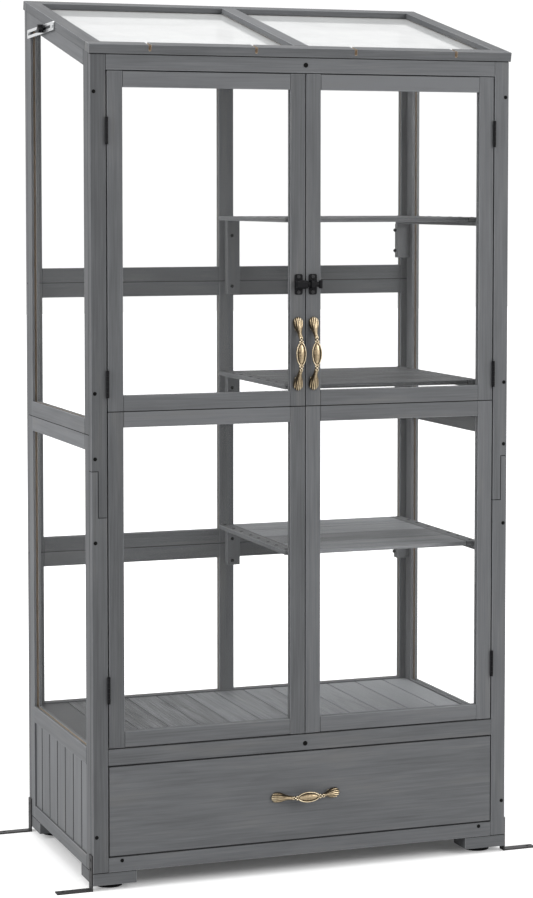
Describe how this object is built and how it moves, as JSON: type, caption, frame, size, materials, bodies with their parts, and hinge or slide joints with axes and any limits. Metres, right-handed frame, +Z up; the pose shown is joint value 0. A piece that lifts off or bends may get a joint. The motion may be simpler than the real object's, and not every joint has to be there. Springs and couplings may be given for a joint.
{
  "type": "mini_greenhouse",
  "caption": "Tall glazed wooden cabinet for raising plants, with framed double doors, slatted half-width shelves, a base drawer and a hinged sloping roof held by a slotted stay",
  "frame": {"origin": "On the ground plane under the middle of the cabinet body, at the middle of the mount anchor_holes", "axes": "+Z up, the doors face -Y, +X to the right as seen from the front; the tallest extent is along Z and the shallowest along Y"},
  "size_m": [0.93, 0.4836, 1.599],
  "materials": {
    "stained_wood": "satin",
    "clear_pane": "gloss",
    "roof_pane": "gloss",
    "brass": "satin",
    "black_metal": "satin",
    "steel": "satin",
    "anchor_steel": "satin",
    "rubber": "matte"
  },
  "bodies": {
    "frame": {"front_posts_upper": "stained_wood", "front_posts_lower": "stained_wood", "header_rail": "stained_wood", "base_top_rail": "stained_wood", "base_bottom_rail": "stained_wood", "left_side_stiles": "stained_wood", "left_side_rails": "stained_wood", "left_base_boards": "stained_wood", "right_side_stiles": "stained_wood", "right_side_rails": "stained_wood", "right_base_boards": "stained_wood", "back_stiles": "stained_wood", "back_rails": "stained_wood", "back_boards": "stained_wood", "floor_boards": "stained_wood", "floor_bearers": "stained_wood", "lower_shelf_slats": "stained_wood", "lower_shelf_ends": "stained_wood", "middle_shelf_slats": "stained_wood", "middle_shelf_ends": "stained_wood", "upper_shelf_slats": "stained_wood", "upper_shelf_ends": "stained_wood", "shelf_supports": "stained_wood", "drawer_runners": "stained_wood", "corner_blocks": "stained_wood", "left_side_panes": "clear_pane", "right_side_panes": "clear_pane", "back_panes": "clear_pane", "hinge_fixed_leaves": "black_metal", "hinge_pins": "black_metal", "foot_pads": "rubber", "ground_anchors": "anchor_steel"},
    "left_door": {"left_door_stiles": "stained_wood", "left_door_rails": "stained_wood", "left_door_panes": "clear_pane", "left_door_plates": "steel", "left_door_hinge_leaves": "black_metal", "left_door_pull": "brass", "latch_keeper": "black_metal"},
    "right_door": {"right_door_stiles": "stained_wood", "right_door_rails": "stained_wood", "right_door_panes": "clear_pane", "right_door_plates": "steel", "right_door_hinge_leaves": "black_metal", "right_door_pull": "brass", "latch_guide": "black_metal"},
    "bolt": {"latch_bolt": "black_metal", "latch_thumb_piece": "black_metal"},
    "drawer": {"drawer_front": "stained_wood", "drawer_box_walls": "stained_wood", "drawer_base": "stained_wood", "drawer_pull": "brass"},
    "roof": {"roof_front_rail": "stained_wood", "roof_back_rail": "stained_wood", "roof_side_rails": "stained_wood", "roof_centre_bar": "stained_wood", "roof_panes": "roof_pane", "roof_hinge_leaves": "black_metal"},
    "stay_swivel": {"stay_knob": "black_metal"},
    "stay_slide": {"stay_bar": "steel"}
  },
  "joints": [
    {"name": "left_door_hinge", "type": "hinge", "parent": "frame", "child": "left_door", "pos_m": [-0.3707, -0.2309, 0.8505], "axis": [0, 0, -1], "range_deg": [0, 110]},
    {"name": "right_door_hinge", "type": "hinge", "parent": "frame", "child": "right_door", "pos_m": [0.3707, -0.2309, 0.8505], "axis": [0, 0, 1], "range_deg": [0, 110]},
    {"name": "latch_slide", "type": "slide", "parent": "right_door", "child": "bolt", "axis": [-1, 0, 0], "range_m": [0, 0.0067]},
    {"name": "drawer_slide", "type": "slide", "parent": "frame", "child": "drawer", "axis": [0, -1, 0], "range_m": [0, 0.28]},
    {"name": "roof_hinge", "type": "hinge", "parent": "frame", "child": "roof", "pos_m": [0, 0.2309, 1.58247], "axis": [-1, 0, 0], "range_deg": [0, 40]},
    {"name": "stay_turn", "type": "hinge", "parent": "frame", "child": "stay_swivel", "pos_m": [-0.4, 0.072, 1.53556], "axis": [-1, 0, 0], "range_deg": [0, 73.1]},
    {"name": "stay_run", "type": "slide", "parent": "stay_swivel", "child": "stay_slide", "axis": [0, -0.9996, 0.0271], "range_m": [0, 0.0969]}
  ],
  "couplings": [
    {"joint": "stay_turn", "follows": "roof_hinge", "ratio": 1.8143},
    {"joint": "stay_run", "follows": "roof_hinge", "m_per_rad": 0.13731}
  ]
}
